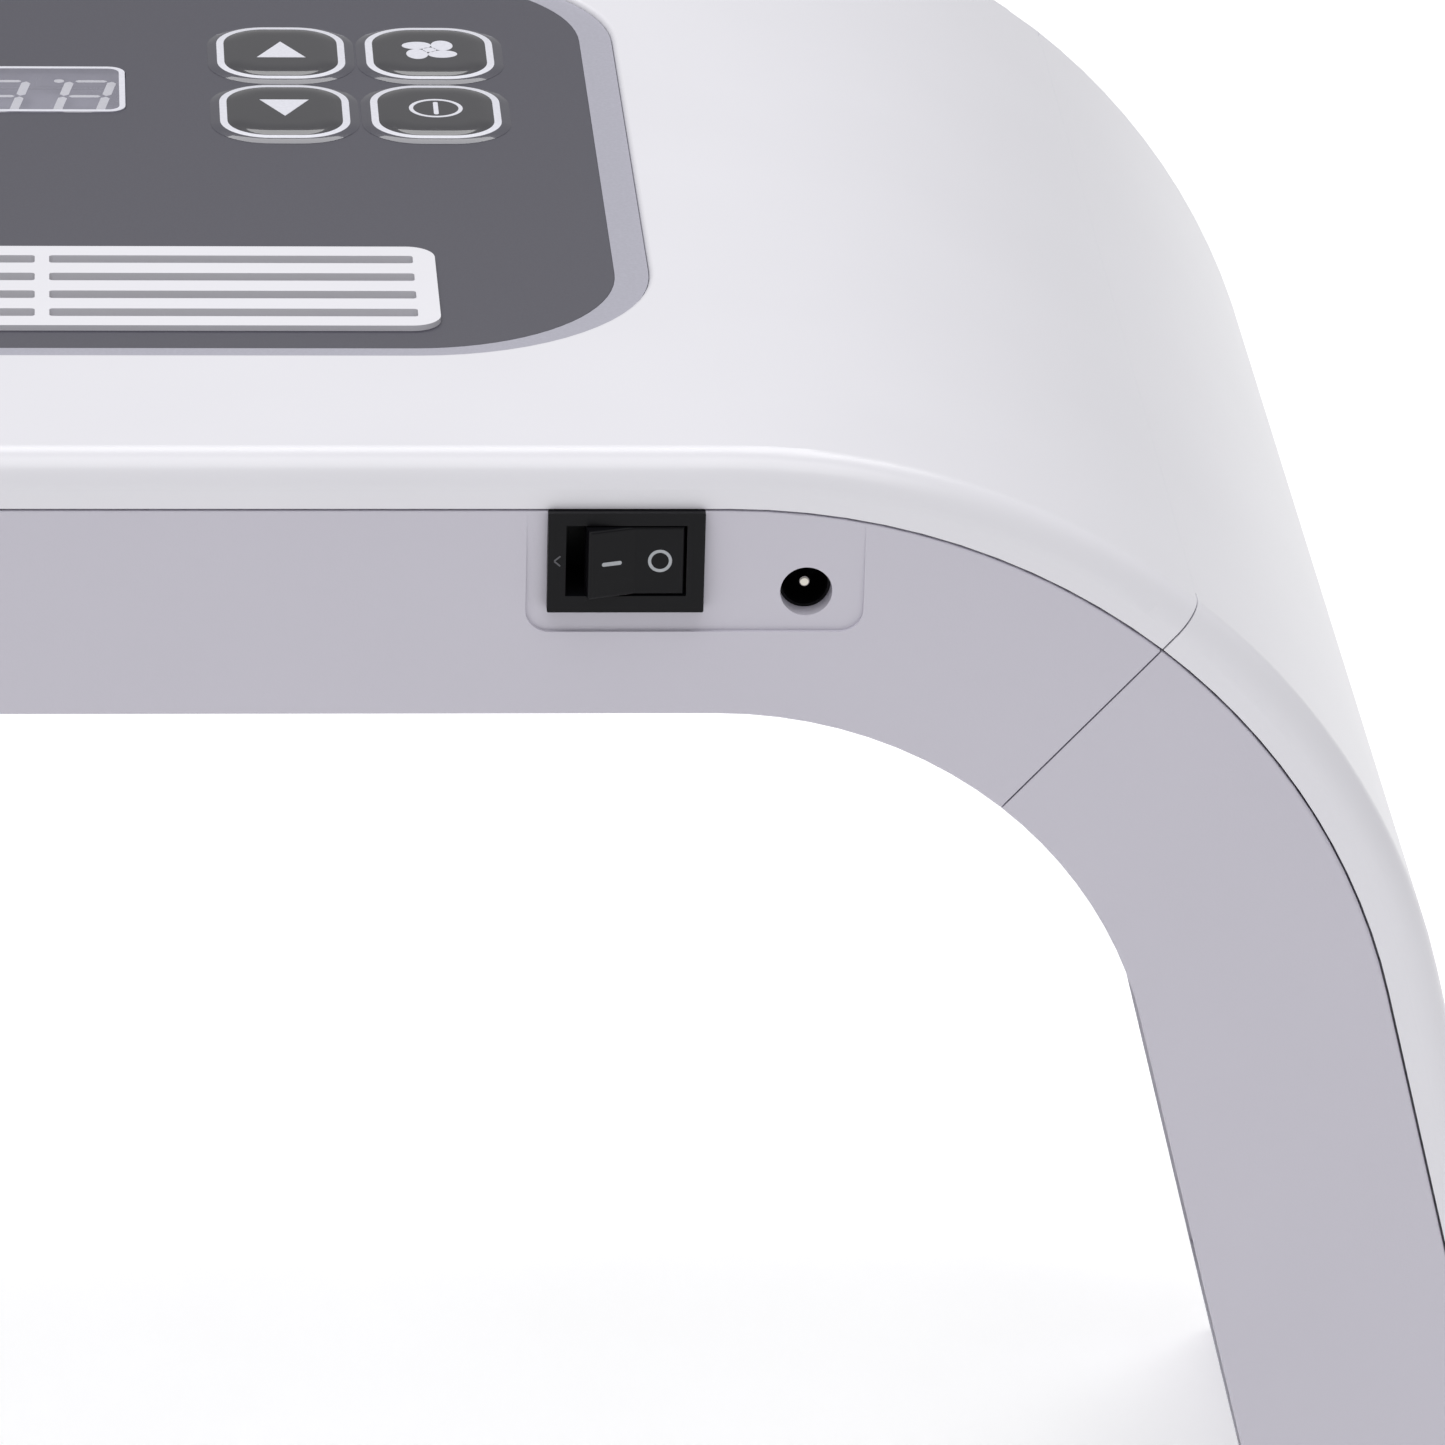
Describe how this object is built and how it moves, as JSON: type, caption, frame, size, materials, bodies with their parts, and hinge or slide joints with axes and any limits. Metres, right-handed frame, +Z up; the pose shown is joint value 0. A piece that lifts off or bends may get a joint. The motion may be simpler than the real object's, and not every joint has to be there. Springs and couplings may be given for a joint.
{
  "type": "foldable light therapy lamp",
  "caption": "Foldable arch-shaped LED light-therapy lamp: flat bridge with control panel, vent, rocker switch and power inlet, and two outward-leaning legs hinged at the shoulders.",
  "frame": {"origin": "on the ground plane, under the middle of the bridge and midway between the front and rear fascias", "axes": "+Z up, +X to the right seen from the switch side, which faces -Y; the bridge spans along X"},
  "size_m": [0.4686, 0.241, 0.2503],
  "materials": {
    "white_abs": "satin moulded ABS",
    "housing_abs": "fine-textured moulded ABS",
    "border_print": "satin screen-printed film",
    "overlay_film": "satin printed polyester film",
    "vent_abs": "satin moulded ABS",
    "window_lens": "smoked polished acrylic",
    "display_black": "moulded black display reflector",
    "green_board": "solder-masked circuit board",
    "black_parts": "moulded component bodies",
    "clear_acrylic": "polished clear acrylic",
    "white_board": "white solder-masked circuit board",
    "led_epoxy": "water-clear epoxy",
    "black_nylon": "satin moulded nylon",
    "nickel_contact": "bright nickel plate",
    "lead_pvc": "smooth PVC insulation",
    "zinc_steel": "zinc-plated pressed steel",
    "foot_rubber": "moulded grey rubber",
    "key_epoxy": "glossy domed resin over printed film"
  },
  "bodies": {
    "bridge": {"bridge_cover": "white_abs", "bridge_housing": "housing_abs", "panel_border": "border_print", "control_overlay": "overlay_film", "vent_grille": "vent_abs", "display_window": "window_lens", "display_module": "display_black", "control_board": "green_board", "tact_switches": "black_parts", "bridge_clear_cover": "clear_acrylic", "bridge_led_board": "white_board", "bridge_led_array": "led_epoxy", "left_fan_frame": "black_nylon", "right_fan_frame": "black_nylon", "switch_body": "black_nylon", "switch_terminals": "nickel_contact", "power_jack": "black_nylon", "power_jack_pin": "nickel_contact", "driver_board": "green_board", "driver_components": "black_parts", "power_leads": "lead_pvc", "bridge_screws": "zinc_steel", "bridge_hinge_leaves": "zinc_steel", "hinge_pins": "zinc_steel", "bridge_hinge_screws": "zinc_steel"},
    "leg_right": {"leg_housing_right": "housing_abs", "leg_cover_right": "white_abs", "leg_clear_cover_right": "clear_acrylic", "leg_led_board_right": "white_board", "leg_led_array_right": "led_epoxy", "leg_end_cap_right": "housing_abs", "leg_feet_right": "foot_rubber", "leg_screws_right": "zinc_steel", "leg_hinge_leaves_right": "zinc_steel", "leg_hinge_screws_right": "zinc_steel"},
    "leg_left": {"leg_housing_left": "housing_abs", "leg_cover_left": "white_abs", "leg_clear_cover_left": "clear_acrylic", "leg_led_board_left": "white_board", "leg_led_array_left": "led_epoxy", "leg_end_cap_left": "housing_abs", "leg_feet_left": "foot_rubber", "leg_screws_left": "zinc_steel", "leg_hinge_leaves_left": "zinc_steel", "leg_hinge_screws_left": "zinc_steel"},
    "rocker": {"switch_rocker": "black_nylon"},
    "key_timer": {"key_timer": "key_epoxy"},
    "key_colour": {"key_colour": "key_epoxy"},
    "key_mode": {"key_mode": "key_epoxy"},
    "key_pulse": {"key_pulse": "key_epoxy"},
    "key_down": {"key_down": "key_epoxy"},
    "key_up": {"key_up": "key_epoxy"},
    "key_power": {"key_power": "key_epoxy"},
    "key_fan": {"key_fan": "key_epoxy"},
    "left_impeller": {"left_fan_impeller": "black_nylon"},
    "right_impeller": {"right_fan_impeller": "black_nylon"}
  },
  "joints": [
    {"name": "fold_right", "type": "hinge", "parent": "bridge", "child": "leg_right", "pos_m": [0.1285, 0, 0.19865], "axis": [0, 1, 0], "range_deg": [0, 104]},
    {"name": "fold_left", "type": "hinge", "parent": "bridge", "child": "leg_left", "pos_m": [-0.1285, 0, 0.19865], "axis": [0, -1, 0], "range_deg": [0, 60]},
    {"name": "power_rocker", "type": "hinge", "parent": "bridge", "child": "rocker", "pos_m": [0.07745, -0.1125, 0.2357], "axis": [0, 0, -1], "range_deg": [0, 17.6]},
    {"name": "press_timer", "type": "slide", "parent": "bridge", "child": "key_timer", "axis": [0, 0, -1], "range_m": [0, 0.0005], "stiffness_N_per_m": 1500, "springref_m": -0.0003},
    {"name": "press_colour", "type": "slide", "parent": "bridge", "child": "key_colour", "axis": [0, 0, -1], "range_m": [0, 0.0005], "stiffness_N_per_m": 1500, "springref_m": -0.0003},
    {"name": "press_mode", "type": "slide", "parent": "bridge", "child": "key_mode", "axis": [0, 0, -1], "range_m": [0, 0.0005], "stiffness_N_per_m": 1500, "springref_m": -0.0003},
    {"name": "press_pulse", "type": "slide", "parent": "bridge", "child": "key_pulse", "axis": [0, 0, -1], "range_m": [0, 0.0005], "stiffness_N_per_m": 1500, "springref_m": -0.0003},
    {"name": "press_down", "type": "slide", "parent": "bridge", "child": "key_down", "axis": [0, 0, -1], "range_m": [0, 0.0005], "stiffness_N_per_m": 1500, "springref_m": -0.0003},
    {"name": "press_up", "type": "slide", "parent": "bridge", "child": "key_up", "axis": [0, 0, -1], "range_m": [0, 0.0005], "stiffness_N_per_m": 1500, "springref_m": -0.0003},
    {"name": "press_power", "type": "slide", "parent": "bridge", "child": "key_power", "axis": [0, 0, -1], "range_m": [0, 0.0005], "stiffness_N_per_m": 1500, "springref_m": -0.0003},
    {"name": "press_fan", "type": "slide", "parent": "bridge", "child": "key_fan", "axis": [0, 0, -1], "range_m": [0, 0.0005], "stiffness_N_per_m": 1500, "springref_m": -0.0003},
    {"name": "spin_left_fan", "type": "hinge", "parent": "bridge", "child": "left_impeller", "pos_m": [-0.026, -0.056, 0.2409], "axis": [0, 0, 1], "continuous": true},
    {"name": "spin_right_fan", "type": "hinge", "parent": "bridge", "child": "right_impeller", "pos_m": [0.026, -0.056, 0.2409], "axis": [0, 0, 1], "continuous": true}
  ]
}
